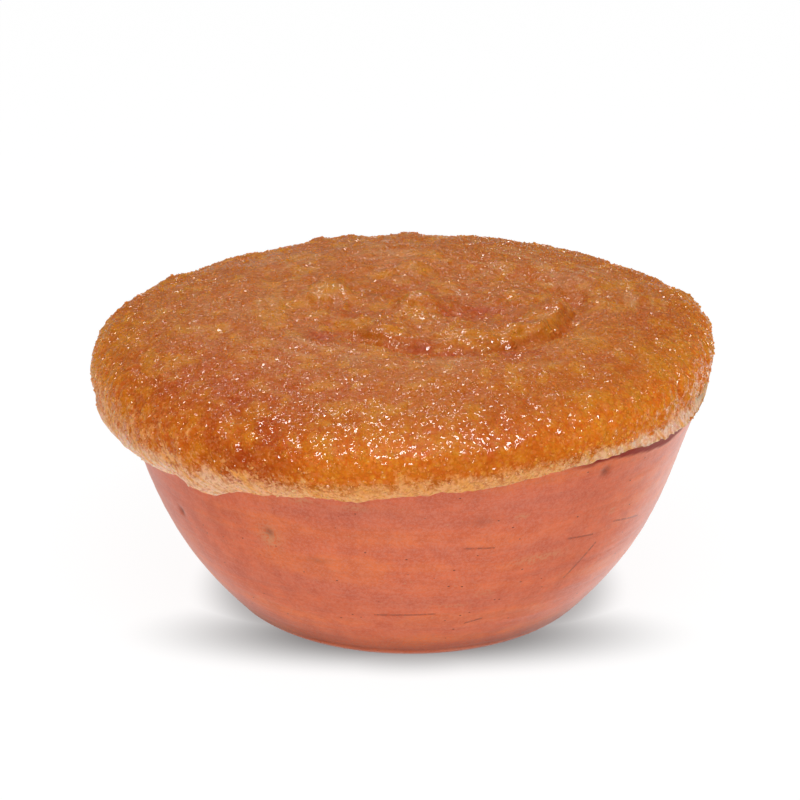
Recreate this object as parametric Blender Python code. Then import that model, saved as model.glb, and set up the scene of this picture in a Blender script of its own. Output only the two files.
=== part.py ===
"""Soft jaggery heaped in a small clay bowl, built for Blender 4.5.

Metres, +Z up. The origin is the centre of the bowl's flat underside, and -Y is the front. The bowl
is turned about Z. The jaggery is one solid: it fills the bowl, laps over its rim on every side and
hangs lowest on the left (-X). Its top is a low dome with a stirred hollow near the middle.
"""
import math

import bmesh
import bpy
from mathutils import Vector, noise

MM = 0.001
AROUND = 72                      # steps round the axis, the same for both solids
SKIN_GAP = 0.3 * MM              # clearance that keeps the two solids apart

# Clay bowl
BASE_RADIUS = 41 * MM
BASE_EDGE_ROUND = 1.2 * MM
RIM_RADIUS = 69.5 * MM           # outer radius, at the rim's centre height
RIM_HEIGHT = 55.5 * MM
WALL = 5 * MM
FLOOR_CORNER_TOP = 8 * MM        # where the inside turns from the wall into the floor
WALL_STEPS = 7
RIM_STEPS = 4
# How far the wall curve's two handles stand from the base edge and from the rim (across, up).
BASE_HANDLE = Vector((20 * MM, 20.8 * MM))
RIM_HANDLE = Vector((8.8 * MM, 23.4 * MM))

# Jaggery: the heap over the rim
HEAP_RADIUS = 72.4 * MM
HEAP_SHIFT = Vector((-2.1 * MM, 0.0))
WAIST_HEIGHT = 57.2 * MM         # where the heap is widest
WAIST_TILT = 3.0 * MM            # how much higher the widest line is at +X
DOME_HEIGHT = 16.4 * MM          # from the widest line to the top of the dome
TOP_TILT = 0.9 * MM              # how much higher the top is at +X
DOME_POWER = 2.95                # 2 is an ellipse; more gives a flatter top and a squarer shoulder
FRONT_POWER = 2.3                # the same at the front, where the shoulder is rounder
FRONT_SPREAD = math.radians(62)
SHOULDER_TURN = 57               # degrees of the dome's curve that the shoulder's rings take
SHOULDER_RINGS = 7
TOP_RINGS = 16
LIP_POWER = 1.2                  # more makes the underside slant in more steeply to the bowl
LEFT_LIP_POWER = 1.7
LEFT_LIP_SPREAD = math.radians(50)
HEM_HEIGHT = 48.3 * MM           # where the lower edge meets the bowl, on average
HEM_TILT = 7.0 * MM
HEM_HIGH_SIDE = math.radians(-20)

# Jaggery: the stirred hollow in the top
HOLLOW_CENTRE = Vector((7 * MM, -1 * MM))
HOLLOW_RADIUS = 36 * MM
HOLLOW_DEPTH = 2.6 * MM
GROOVE_DEPTH = 2.4 * MM
GROOVE_WIDTH = 3.6 * MM
GROOVE_START = math.radians(-165)
GROOVE_SWEEP = math.radians(265)
GROOVE_RADII = (28 * MM, 22 * MM)
GROOVE_BULGE = 8 * MM           # how far the spiral swings out half way round
LUMPS = (                        # x, y, radius and rise of the soft lumps and dips of the top
    (-19 * MM, 10 * MM, 6.5 * MM, 2.0 * MM),
    (-10 * MM, -17 * MM, 6 * MM, 1.2 * MM),
    (2.5 * MM, -2 * MM, 5 * MM, 2.2 * MM),
    (1 * MM, 26 * MM, 4.5 * MM, 1.2 * MM),
    (12 * MM, -21 * MM, 5 * MM, 1.4 * MM),
    (24 * MM, -19 * MM, 5 * MM, 1.6 * MM),
    (33 * MM, -9 * MM, 6 * MM, 2.2 * MM),
    (-38 * MM, 50 * MM, 18 * MM, -1.0 * MM),
    (49 * MM, 38 * MM, 15 * MM, -0.6 * MM),
)
DRIPS = (                        # azimuth, half width and depth of the low points of the lower edge
    (math.radians(-130), math.radians(4.5), 2.4 * MM),
    (math.radians(-99), math.radians(4), 1.4 * MM),
    (math.radians(-75), math.radians(8), 0.9 * MM),
    (math.radians(64), math.radians(9), 1.8 * MM),
    (math.radians(141), math.radians(7), 2.0 * MM),
)


def clear_scene():
    for thing in list(bpy.data.objects):
        bpy.data.objects.remove(thing, do_unlink=True)


def material(name, colour, roughness):
    made = bpy.data.materials.new(name)
    made.use_nodes = True
    shader = made.node_tree.nodes["Principled BSDF"]
    shader.inputs["Base Color"].default_value = (*colour, 1.0)
    shader.inputs["Roughness"].default_value = roughness
    shader.inputs["Metallic"].default_value = 0.0
    return made


# ---- the bowl's profile: every point is (radius, height) ----

def wall_curve(part):
    """Outer side of the wall, from the base edge (0) to the rim (1), and the way out from it."""
    start = Vector((BASE_RADIUS, 0.0))
    end = Vector((RIM_RADIUS, RIM_HEIGHT))
    first = start + BASE_HANDLE
    last = end - RIM_HANDLE
    rest = 1 - part
    point = start * rest**3 + first * (3 * rest**2 * part) + last * (3 * rest * part**2) + end * part**3
    along = (first - start) * rest**2 + (last - first) * (2 * rest * part) + (end - last) * part**2
    along.normalize()
    return point, Vector((along.y, -along.x))


def wall_part_at(height):
    """Where on the wall curve a height lies, found by halving."""
    low, high = 0.0, 1.0
    for _ in range(30):
        middle = (low + high) / 2
        if wall_curve(middle)[0].y < height:
            low = middle
        else:
            high = middle
    return low


LOWEST_PART = wall_part_at(2.2 * BASE_EDGE_ROUND)


def wall_parts():
    return [LOWEST_PART + (1 - LOWEST_PART) * step / WALL_STEPS for step in range(WALL_STEPS + 1)]


def outer_wall():
    """Outer side from the base edge to the rim."""
    return [wall_curve(part)[0] for part in wall_parts()]


def inner_wall(offset):
    """Inner side from the rim to the floor, moved into the bowl by offset."""
    parts = [part for part in reversed(wall_parts()) if wall_curve(part)[0].y > FLOOR_CORNER_TOP]
    return [point - out * (WALL + offset) for point, out in map(wall_curve, parts)]


def rim_round(offset):
    """Round top of the rim, from its outer to its inner side, grown by offset."""
    end, out = wall_curve(1.0)
    centre = end - out * (WALL / 2)
    up = Vector((-out.y, out.x))
    turns = [math.pi * step / (RIM_STEPS + 1) for step in range(1, RIM_STEPS + 1)]
    return [centre + (out * math.cos(turn) + up * math.sin(turn)) * (WALL / 2 + offset) for turn in turns]


def inner_floor(offset):
    """Rounded corner and floor of the inside, ending short of the axis."""
    foot = inner_wall(offset)[-1]
    floor = WALL + offset
    drop = foot.y - floor
    corner = Vector((foot.x - drop * 0.9, floor + drop * 0.22))
    flat = Vector((corner.x - drop, floor))
    return [corner, flat, Vector((flat.x / 2, floor))]


def underside():
    """The flat that the bowl stands on and the small round at its edge."""
    return [
        Vector((0.0, 0.0)),
        Vector((BASE_RADIUS / 2, 0.0)),
        Vector((BASE_RADIUS - BASE_EDGE_ROUND, 0.0)),
        Vector((BASE_RADIUS + BASE_EDGE_ROUND * 0.25, BASE_EDGE_ROUND * 0.45)),
    ]


def add_bowl(clay):
    inside = inner_wall(0.0) + inner_floor(0.0) + [Vector((0.0, WALL))]
    profile = underside() + outer_wall() + rim_round(0.0) + inside
    mesh = bpy.data.meshes.new("clay_bowl")
    points = [(point.x, 0.0, point.y) for point in reversed(profile)]
    mesh.from_pydata(points, [(step, step + 1) for step in range(len(points) - 1)], [])
    bowl = bpy.data.objects.new("clay_bowl", mesh)
    bpy.context.collection.objects.link(bowl)
    screw = bowl.modifiers.new("turned", 'SCREW')
    screw.steps = AROUND
    screw.render_steps = AROUND
    screw.use_merge_vertices = True
    screw.merge_threshold = 0.00001
    mesh.materials.append(clay)
    return bowl


# ---- the jaggery ----

def bump(distance):
    """1 at the middle and 0 beyond a distance of about 2, with a soft edge."""
    return math.exp(-distance * distance)


def turn_between(angle, other):
    return (angle - other + math.pi) % math.tau - math.pi


def hem_height(angle):
    """Height at which the lower edge of the heap meets the bowl."""
    height = HEM_HEIGHT + HEM_TILT * math.cos(angle - HEM_HIGH_SIDE)
    for azimuth, half_width, depth in DRIPS:
        height -= depth * bump(turn_between(angle, azimuth) / half_width)
    return height


def waist(angle):
    """Widest point of the heap, as a 3-D point."""
    reach = HEAP_RADIUS + 0.5 * MM * math.sin(3 * angle + 0.6) + 0.35 * MM * math.sin(7 * angle)
    height = WAIST_HEIGHT + WAIST_TILT * math.cos(angle) + 0.4 * MM * math.sin(4 * angle + 1)
    return Vector((reach * math.cos(angle) + HEAP_SHIFT.x, reach * math.sin(angle) + HEAP_SHIFT.y, height))


def groove(x, y):
    """Depth of the spiral groove that the stirring left, at a place on the top."""
    away = Vector((x, y)) - HOLLOW_CENTRE
    turned = (math.atan2(away.y, away.x) - GROOVE_START) % math.tau
    if turned > GROOVE_SWEEP:
        return 0.0
    share = turned / GROOVE_SWEEP
    swing = math.sin(math.pi * share)
    centre_line = GROOVE_RADII[0] + (GROOVE_RADII[1] - GROOVE_RADII[0]) * share + GROOVE_BULGE * swing
    strength = swing ** 0.6
    return GROOVE_DEPTH * strength * bump((away.length - centre_line) / GROOVE_WIDTH)


def top_relief(x, y):
    """What the stirring adds to or takes from the plain dome."""
    away = (Vector((x, y)) - HOLLOW_CENTRE).length / HOLLOW_RADIUS
    height = -HOLLOW_DEPTH * bump(away**2) - groove(x, y)
    for lump_x, lump_y, radius, rise in LUMPS:
        height += rise * bump(math.hypot(x - lump_x, y - lump_y) / radius)
    return height


def dome_power(angle):
    facing = bump(turn_between(angle, -math.pi / 2) / FRONT_SPREAD)
    return DOME_POWER + (FRONT_POWER - DOME_POWER) * facing


def lip_power(angle):
    facing = bump(turn_between(angle, math.pi) / LEFT_LIP_SPREAD)
    return LIP_POWER + (LEFT_LIP_POWER - LIP_POWER) * facing


def dome_point(angle, lift):
    """A point of the dome: lift runs from 0 at the widest line to 90 degrees at the middle."""
    edge = waist(angle)
    power = dome_power(angle)
    share = math.cos(lift) ** (2 / power)
    rise = math.sin(lift) ** (2 / power)
    x = HEAP_SHIFT.x + (edge.x - HEAP_SHIFT.x) * share
    y = HEAP_SHIFT.y + (edge.y - HEAP_SHIFT.y) * share
    waves = 0.55 * MM * noise.noise(Vector((x, y, 0.0)) / (11 * MM))
    plain = WAIST_HEIGHT + DOME_HEIGHT + TOP_TILT * x / HEAP_RADIUS
    top = plain + top_relief(x, y) + waves
    return Vector((x, y, edge.z + (top - edge.z) * rise))


def azimuths():
    return [math.tau * step / AROUND for step in range(AROUND)]


def at(point, angle):
    """A profile point (radius, height) turned to an azimuth."""
    return Vector((point.x * math.cos(angle), point.x * math.sin(angle), point.y))


def ring_on(profile_point):
    return [at(profile_point, angle) for angle in azimuths()]


def hanging_rings():
    """The face that lies on the bowl's outer wall, from the rim down to the lower edge."""
    rings = []
    for share in (0.0, 0.35, 0.7, 1.0):
        ring = []
        for angle in azimuths():
            lowest = wall_part_at(hem_height(angle))
            point, out = wall_curve(1 + (lowest - 1) * share)
            ring.append(at(point + out * SKIN_GAP, angle))
        rings.append(ring)
    return rings


def lip_rings():
    """The rounded underside, from the lower edge out to the widest line."""
    rings = []
    for turn in map(math.radians, (18, 40, 64, 90)):
        up = 1 - math.cos(turn)
        ring = []
        for angle in azimuths():
            across = math.sin(turn) ** lip_power(angle)
            point, out = wall_curve(wall_part_at(hem_height(angle)))
            foot = at(point + out * SKIN_GAP, angle)
            way = waist(angle) - foot
            ring.append(foot + Vector((way.x * across, way.y * across, way.z * up)))
        rings.append(ring)
    return rings


def dome_rings():
    """Rings by even turns round the shoulder, then by even steps in towards the middle."""
    lifts = [math.radians(SHOULDER_TURN) * step / SHOULDER_RINGS for step in range(1, SHOULDER_RINGS + 1)]
    inner_share = math.cos(lifts[-1]) ** (2 / DOME_POWER)
    for step in range(1, TOP_RINGS):
        share = inner_share * (1 - step / TOP_RINGS)
        lifts.append(math.acos(share ** (DOME_POWER / 2)))
    return [[dome_point(angle, lift) for angle in azimuths()] for lift in lifts]


def skin(rings, first_point, last_point):
    """A closed mesh over a run of rings, with a point at each end."""
    bm = bmesh.new()
    loops = [[bm.verts.new(point) for point in ring] for ring in rings]
    ends = (bm.verts.new(first_point), bm.verts.new(last_point))
    for lower, upper in zip(loops, loops[1:]):
        for step in range(AROUND):
            after = (step + 1) % AROUND
            bm.faces.new((lower[step], lower[after], upper[after], upper[step]))
    for step in range(AROUND):
        after = (step + 1) % AROUND
        bm.faces.new((ends[0], loops[0][after], loops[0][step]))
        bm.faces.new((ends[1], loops[-1][step], loops[-1][after]))
    bmesh.ops.recalc_face_normals(bm, faces=bm.faces)
    bmesh.ops.triangulate(bm, faces=bm.faces)
    return bm


def add_jaggery(sugar):
    down_the_inside = rim_round(SKIN_GAP) + inner_wall(SKIN_GAP) + inner_floor(SKIN_GAP)
    hidden = [ring_on(point) for point in reversed(down_the_inside)]
    rings = hidden + hanging_rings() + lip_rings() + dome_rings()
    bottom = Vector((0.0, 0.0, WALL + SKIN_GAP))
    bm = skin(rings, bottom, dome_point(0.0, math.pi / 2))
    mesh = bpy.data.meshes.new("jaggery")
    bm.to_mesh(mesh)
    bm.free()
    mesh.materials.append(sugar)
    lump = bpy.data.objects.new("jaggery", mesh)
    bpy.context.collection.objects.link(lump)
    return lump


def main():
    clear_scene()
    clay = material("clay", (0.56, 0.16, 0.075), 0.55)
    sugar = material("jaggery_sugar", (0.50, 0.17, 0.03), 0.32)
    add_bowl(clay)
    add_jaggery(sugar)


main()
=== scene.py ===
"""The looks of jaggery heaped in a clay bowl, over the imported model.

Metres, +Z up, -Y to the front. The shape functions are those of part.py, so that the fine meshes
here keep the solids' form. They add what is too fine for a solid: the grain, the ragged lower
edge and the wheel lines of the clay. Both materials are made here too.
"""
import math
import random

import bpy
from mathutils import Euler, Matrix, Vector, noise

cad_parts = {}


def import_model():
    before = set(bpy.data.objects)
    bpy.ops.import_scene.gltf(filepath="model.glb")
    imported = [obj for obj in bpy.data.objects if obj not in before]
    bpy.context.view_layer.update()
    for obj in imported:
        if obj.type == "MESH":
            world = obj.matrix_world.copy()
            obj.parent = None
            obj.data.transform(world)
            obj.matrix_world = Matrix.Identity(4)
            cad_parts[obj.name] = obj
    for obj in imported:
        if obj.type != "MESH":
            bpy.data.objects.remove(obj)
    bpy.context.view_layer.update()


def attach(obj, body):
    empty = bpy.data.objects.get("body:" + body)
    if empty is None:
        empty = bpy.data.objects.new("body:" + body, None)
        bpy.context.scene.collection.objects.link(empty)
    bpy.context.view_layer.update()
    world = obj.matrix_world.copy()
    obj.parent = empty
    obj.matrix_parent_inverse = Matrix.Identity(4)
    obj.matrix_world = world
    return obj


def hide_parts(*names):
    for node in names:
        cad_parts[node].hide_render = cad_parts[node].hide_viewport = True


MM = 0.001

# The bowl's outer wall, as in part.py
BASE_RADIUS = 41 * MM
BASE_EDGE_ROUND = 1.2 * MM
RIM_RADIUS = 69.5 * MM
RIM_HEIGHT = 55.5 * MM
WALL = 5 * MM
INSIDE_FLOOR_RADIUS = 34 * MM
BASE_HANDLE = Vector((20 * MM, 20.8 * MM))
RIM_HANDLE = Vector((8.8 * MM, 23.4 * MM))

# The heap, as in part.py
HEAP_RADIUS = 72.4 * MM
HEAP_SHIFT = Vector((-2.1 * MM, 0.0))
WAIST_HEIGHT = 57.2 * MM
WAIST_TILT = 3.0 * MM
DOME_HEIGHT = 16.4 * MM
TOP_TILT = 0.9 * MM
DOME_POWER = 2.95
FRONT_POWER = 2.3
FRONT_SPREAD = math.radians(62)
LIP_POWER = 1.2
LEFT_LIP_POWER = 1.7
LEFT_LIP_SPREAD = math.radians(50)
HEM_HEIGHT = 48.3 * MM
HEM_TILT = 7.0 * MM
HEM_HIGH_SIDE = math.radians(-20)
HOLLOW_CENTRE = Vector((7 * MM, -1 * MM))
HOLLOW_RADIUS = 36 * MM
HOLLOW_DEPTH = 2.6 * MM
GROOVE_DEPTH = 2.4 * MM
GROOVE_WIDTH = 3.6 * MM
GROOVE_START = math.radians(-165)
GROOVE_SWEEP = math.radians(265)
GROOVE_RADII = (28 * MM, 22 * MM)
GROOVE_BULGE = 8 * MM
# Lumps and dips of its top: x, y, radius and rise in mm
LUMPS = (
    (-19, 10, 6.5, 2.0), (-10, -17, 6, 1.2), (2.5, -2, 5, 2.2), (1, 26, 4.5, 1.2), (12, -21, 5, 1.4),
    (24, -19, 5, 1.6), (33, -9, 6, 2.2), (-38, 50, 18, -1.0), (49, 38, 15, -0.6),
)
# Drips of its lower edge: azimuth and half width in degrees, then depth in mm
DRIPS = ((-130, 4.5, 2.4), (-99, 4, 1.4), (-75, 8, 0.9), (64, 9, 1.8), (141, 7, 2.0))

# What is finer than the solids
LIFTED_AZIMUTH = math.radians(-34)  # where the lower edge stands off the clay
LIFTED_HALF_WIDTH = math.radians(15)
LIFTED_GAP = 2.0 * MM
LIP_GAP = 0.1 * MM  # where it lies on the clay
FIBRE_SLANT = 90 * MM  # of rise for a radian of turn, in the pale lower edge
LIP_SHADOW_AZIMUTH = math.radians(-31)  # where the painted shadow under it is widest
WET_AZIMUTH = math.radians(-78)  # the middle of the wet front bulge
WET_HALF_WIDTH = math.radians(48)
DRY_AZIMUTH = math.radians(-158)  # the middle of the drier, paler left side
DRY_HALF_WIDTH = math.radians(40)
LINING_GAP = 0.2 * MM  # between the clay and the heap's hidden inside
STIRRED_REACH = (44 * MM, 30 * MM)  # where the stirring begins and where it is full

SPOT_REACH = 2.2  # in radii, past which a spot or a mark has faded out
# Soft round spots of the heap's top and sides: x, y and radius in mm, then strength
WET_SPOTS = (
    (11, -25.5, 4.5, 1), (18, -27.5, 4.5, 1), (23.5, -24.5, 5, 1), (30.5, -18, 5, 1), (35.5, -12, 4.5, 1),
    (3, -11.5, 4.5, 0.9), (2, -1, 4, 0.7), (10, 23, 4, 0.7), (27, 6, 4, 0.6), (-7.5, -22, 4.5, 0.8),
    (-4.5, -13.5, 4, 0.6), (-18.5, 4.5, 6, 0.7), (-9, 4.5, 4, 0.7), (1, 23, 4, 0.5), (-13, -50.5, 3, 0.9),
    (47, -48.5, 7, 0.7), (60, -27, 5, 0.6), (-28, -57, 9, 0.5),
)
DEEP_SPOTS = (
    (-18.5, -29, 3, 0.7), (-12, -30.5, 3, 0.6), (-5, -29.5, 3, 0.6), (3, -29.5, 3.5, 0.8),
    (9, -33, 3.5, 0.9), (15.5, -36, 4, 1), (22, -37.5, 4, 1), (26.5, -35, 3.5, 0.8), (7, -8, 5, 0.8),
    (16.5, -5.5, 6, 0.8), (25, -15.5, 5, 0.7), (-12, -8, 6, 0.5), (-35, -62, 14, 1), (-27, -50, 8, 0.5),
    (-51, -41, 12, 0.8), (-14.5, -55.5, 9, 0.45), (-34, -65, 9, 0.6), (18, -70, 14, 0.5),
    (41.5, -35.5, 6, 0.5), (-19, -24, 4, 0.9), (22, -38, 5, 0.5), (8, 5, 6, 0.3), (55, -12, 9, 0.35),
    (-5, 10, 5, 0.4), (-44, -46, 20, 0.7), (-38, -55, 10, 0.9), (-60, -28, 12, 0.4),
)
HONEY_SPOTS = (
    (-28.5, -4, 6, 0.8), (-19, 4, 6, 1), (-36, -38.5, 6, 0.45), (59.5, -36, 11, 0.9), (40, -28, 7, 0.8),
    (2.5, -10, 4.5, 1), (2, 0, 4.5, 1), (1, 24, 4.5, 0.9), (31, -17, 6, 0.8), (13, -26, 6, 0.7),
    (63, 15, 7, 0.6), (-64, -14, 8, 0.5), (9, -70, 10, 0.7), (30, -64, 8, 0.5), (-10, -70, 8, 0.5),
)
FROST_SPOTS = (
    (-39, -4, 12, 0.9), (-23.5, -33, 9, 1), (-10.5, -34.5, 8, 0.9), (-62, 5, 9, 0.8), (-6.5, 33, 9, 1),
    (13.5, 9, 8, 0.8), (23.5, 31, 12, 1), (56, 1.5, 10, 1), (6, -41, 10, 0.9), (40, 22, 11, 1),
    (-30, 30, 13, 0.9), (-52, -20, 8, 0.5), (0, 60, 18, 0.9), (-50, 38, 12, 0.8), (46, 45, 14, 0.9),
    (30, -42, 7, 0.5),
)
# Finer lumps and dips of the hollow, in mm: x, y, radius and rise
FINE_LUMPS = (
    (3, -10.5, 3.2, 0.9), (2, -1, 3.5, 0.8), (-19.5, 4, 4, 0.7), (-25, 0, 3.5, 0.5), (-9, 4.5, 3, 0.6),
    (1, 23, 3.5, 0.7), (10, 23, 3, 0.6), (27, 6, 3.5, 0.5), (-7.5, -22, 3.5, 0.8), (-4.5, -13.5, 3, 0.5),
    (12, -6, 6, -0.8), (20, -8, 6, -0.8), (25, -15.5, 4, -0.5), (-2, 10, 5, -0.6), (-19, -24, 3.5, -1),
    (16, 14, 6, -0.5),
)

# Bumps of the shoulder: azimuth and half width in degrees, part of the way up, rise in mm
EDGE_BUMPS = (
    (112, 2.6, 1.42, 0.9), (104, 3.0, 1.45, 0.5), (90, 2.6, 1.45, 0.4), (150, 3.0, 1.30, 0.4),
    (166, 3.0, 1.15, 0.5), (28, 3.0, 1.25, 0.4), (14, 3.0, 1.15, 0.4), (2, 3.0, 1.05, 0.5),
)
EDGE_BUMP_SPAN = 0.16

# Marks on the clay: azimuth in degrees, height, half width and half height in mm, then strength
PALE_MARKS = (
    (-119, 35, 2.3, 3, 1), (-62, 30, 5.8, 1.1, 0.8), (-111, 47, 3.5, 0.7, 0.8), (-100, 46.5, 2.5, 0.8, 0.7),
    (-68, 42.5, 1.6, 0.6, 0.8), (-45, 37.5, 0.7, 0.7, 1), (-73, 22, 2.5, 1.2, 0.4), (-81, 19, 4, 0.5, 0.5),
)
DARK_MARKS = (
    (-119, 36.5, 1, 1, 0.6), (-146, 33, 1, 1.1, 0.7), (-51, 50, 1.3, 1.2, 0.7), (-76, 42.5, 3.6, 1.5, 0.22),
    (-109, 31, 2.5, 0.8, 0.3),
)
ORANGE_MARKS = (
    (-90, 4.5, 5.5, 1.6, 1), (-96, 38.5, 17, 2.6, 1), (-73, 36, 14, 2.2, 0.8), (-35, 50, 12, 1.6, 0.9),
    (-42, 40, 9, 2, 0.5), (-120, 9, 12, 2.4, 0.8),
)
ROSE_MARKS = (
    (-99, 45, 22, 3, 0.9), (-66, 46, 18, 3, 1), (-148, 36, 16, 9, 0.8), (-113, 24, 18, 3, 0.7),
    (-79, 12, 20, 3, 0.5),
)
CHIPS = DARK_MARKS[:3]  # those that are dips as well
SCRAPES = PALE_MARKS[:1]
# Scratches of the clay: azimuth in degrees and height in mm of both ends, then half the width in mm
SCRATCHES = (
    ((-53, 21.5), (-47, 29.5), 0.28),
    ((-98, 16), (-84, 16.5), 0.26),
    ((-56, 33.5), (-49, 32.5), 0.24),
    ((-43, 34), (-33, 31.5), 0.24),
    ((-79, 35.5), (-73, 35), 0.22),
    ((-76, 12.5), (-72, 13.5), 0.26),
)
UNROLLED_RADIUS = 58 * MM  # of the wall laid flat, on which the scratches are drawn

# Loose grains: name, count, least and greatest size, share of the size that is sunk in, seed
GRAINS = (
    ("sugar_grains_fine", 12000, (0.30 * MM, 0.60 * MM), 0.70, 5),
    ("sugar_grains_coarse", 3500, (0.55 * MM, 1.1 * MM), 0.78, 6),
)

# Fineness of the meshes, and their flat layouts for baking
HEAP_STEP = 0.51 * MM
CLAY_STEP = 0.62 * MM
PATH_SAMPLES = 600
HALVINGS = 24
LAYOUT_REACH = 0.49  # of a round layout, whose middle is at 0.5, 0.5
HIDDEN_SHARE = 0.04  # of their length that hidden rings keep in it
CELL_MARGIN = 0.15

# Camera and light
CAMERA_DISTANCE = 600 * MM
CAMERA_RISE = math.radians(21.8)
CAMERA_LENS = 113.4
CAMERA_CENTRE_HEIGHT = 30 * MM
TARGET = Vector((-2.2 * MM, 0.0, 46.8 * MM))
LIGHT_AROUND = 0.36
LIGHT_ABOVE = 0.74
MIRRORED_BACKDROP = 0.06  # what glossy surfaces mirror of the backdrop and the table
MIRRORED_TABLE = 1.15
MIRRORED_SIDES = (0.65, 1.30)  # how strongly on the left and on the right
MIRRORED_STRIP = 0.05  # a soft light low behind, which the top's crystals catch
FLOOR_REACH = 6.0
FLOOR_GLOW = 0.94
FLOOR_SHADE = 0.19  # the glow in the middle of the oval shade under the bowl
SHADE_CENTRE = (0.0, -29 * MM, 0.0)
SHADE_OVAL = (1.0, 2.9, 1.0)
SHADE_REACH = (15 * MM, 70 * MM)
CONTACT_SHADE = 0.40  # the glow of the floor right beside the bowl, all round
CONTACT_REACH = (39 * MM, 54 * MM)
# Lamps: name, place, size and power, then whether it lights matt or glossy surfaces
LAMPS = (
    ("soft_key", (0.06, -0.46, 0.74), (0.50, 0.30), 2.7, True, False),
    ("front_sparkle", (0.05, -0.42, 0.76), (0.46, 0.18), 5.4, False, True),
    ("back_sparkle", (-0.15, 0.70, 0.80), (0.36, 0.16), 1.9, False, True),
)


def bump(distance):
    return math.exp(-distance * distance)


def azimuth_of(point):
    return math.atan2(point.y, point.x)


def turn_between(angle, other):
    return (angle - other + math.pi) % math.tau - math.pi


def blend(low, high, value):
    """0 below low, 1 above high and smooth between."""
    share = min(max((value - low) / (high - low), 0.0), 1.0)
    return share * share * (3 - 2 * share)


# ---- the forms, as in part.py ----

def wall_curve(part):
    """A point of the bowl's outer wall, 0 at the foot and 1 at the rim, and the way out of it."""
    start = Vector((BASE_RADIUS, 0.0))
    end = Vector((RIM_RADIUS, RIM_HEIGHT))
    first = start + BASE_HANDLE
    last = end - RIM_HANDLE
    rest = 1 - part
    point = start * rest**3 + first * (3 * rest**2 * part) + last * (3 * rest * part**2) + end * part**3
    along = (first - start) * rest**2 + (last - first) * (2 * rest * part) + (end - last) * part**2
    along.normalize()
    return point, Vector((along.y, -along.x))


def wall_part_at(height):
    """The part of the outer wall that lies at a height, found by halving."""
    low = 0.0
    high = 1.0
    for _ in range(HALVINGS):
        middle = (low + high) / 2
        if wall_curve(middle)[0].y < height:
            low = middle
        else:
            high = middle
    return low


def inside_wall(height, depth):
    """The point at some depth behind the outer wall's point at a height."""
    point, out = wall_curve(wall_part_at(height))
    return point - out * depth


def rim_round(turn, reach):
    """A point round the middle of the rim, raised from straight out by so many degrees."""
    end, out = wall_curve(1.0)
    up = Vector((-out.y, out.x))
    way = out * math.cos(math.radians(turn)) + up * math.sin(math.radians(turn))
    return end - out * WALL / 2 + way * reach


def hem_height(angle):
    """How high the solid's lower edge hangs at an angle."""
    height = HEM_HEIGHT + HEM_TILT * math.cos(angle - HEM_HIGH_SIDE)
    for azimuth, half_width, depth in DRIPS:
        away = turn_between(angle, math.radians(azimuth)) / math.radians(half_width)
        height -= depth * MM * bump(away)
    return height


def waist(angle):
    """The point of the heap's widest line at an angle."""
    reach = HEAP_RADIUS + 0.5 * MM * math.sin(3 * angle + 0.6) + 0.35 * MM * math.sin(7 * angle)
    height = WAIST_HEIGHT + WAIST_TILT * math.cos(angle) + 0.4 * MM * math.sin(4 * angle + 1)
    return Vector((reach * math.cos(angle) + HEAP_SHIFT.x, reach * math.sin(angle) + HEAP_SHIFT.y, height))


def groove_place(x, y):
    """The share of the spiral groove's sweep at a point of the top, and how far outside its line."""
    away = Vector((x, y)) - HOLLOW_CENTRE
    share = (azimuth_of(away) - GROOVE_START) % math.tau / GROOVE_SWEEP
    swing = math.sin(math.pi * share)
    line = GROOVE_RADII[0] + (GROOVE_RADII[1] - GROOVE_RADII[0]) * share + GROOVE_BULGE * swing
    return share, away.length - line


def groove(x, y):
    """Depth of the spiral groove at a point of the top."""
    share, off = groove_place(x, y)
    if share > 1:
        return 0.0
    return GROOVE_DEPTH * math.sin(math.pi * share) ** 0.6 * bump(off / GROOVE_WIDTH)


def top_relief(x, y):
    """How far the worked top lies above the plain dome."""
    from_hollow = (Vector((x, y)) - HOLLOW_CENTRE).length / HOLLOW_RADIUS
    height = -HOLLOW_DEPTH * bump(from_hollow**2) - groove(x, y)
    for lump_x, lump_y, radius, rise in LUMPS:
        away = math.hypot(x - lump_x * MM, y - lump_y * MM) / (radius * MM)
        height += rise * MM * bump(away)
    return height


def dome_power(angle):
    """How square the dome's shoulder is at an angle: least at the front."""
    facing = bump(turn_between(angle, -math.pi / 2) / FRONT_SPREAD)
    return DOME_POWER + (FRONT_POWER - DOME_POWER) * facing


def lip_power(angle):
    """How the heap's underside swings out at an angle: later on the left."""
    facing = bump(turn_between(angle, math.pi) / LEFT_LIP_SPREAD)
    return LIP_POWER + (LEFT_LIP_POWER - LIP_POWER) * facing


def dome_point(angle, lift):
    """A point of the heap's top, from its widest line at lift 0 to the middle at a quarter turn."""
    edge = waist(angle)
    power = dome_power(angle)
    share = max(math.cos(lift), 0.0) ** (2 / power)
    rise = math.sin(lift) ** (2 / power)
    x = HEAP_SHIFT.x + (edge.x - HEAP_SHIFT.x) * share
    y = HEAP_SHIFT.y + (edge.y - HEAP_SHIFT.y) * share
    waves = 0.55 * MM * noise.noise(Vector((x, y, 0.0)) / (11 * MM))
    plain = WAIST_HEIGHT + DOME_HEIGHT + TOP_TILT * x / HEAP_RADIUS
    top = plain + top_relief(x, y) + waves
    return Vector((x, y, edge.z + (top - edge.z) * rise))


def at(point, angle):
    """A point of an upright section, turned to an angle."""
    return Vector((point.x * math.cos(angle), point.x * math.sin(angle), point.y))


# ---- meshes from rings of points ----

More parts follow.
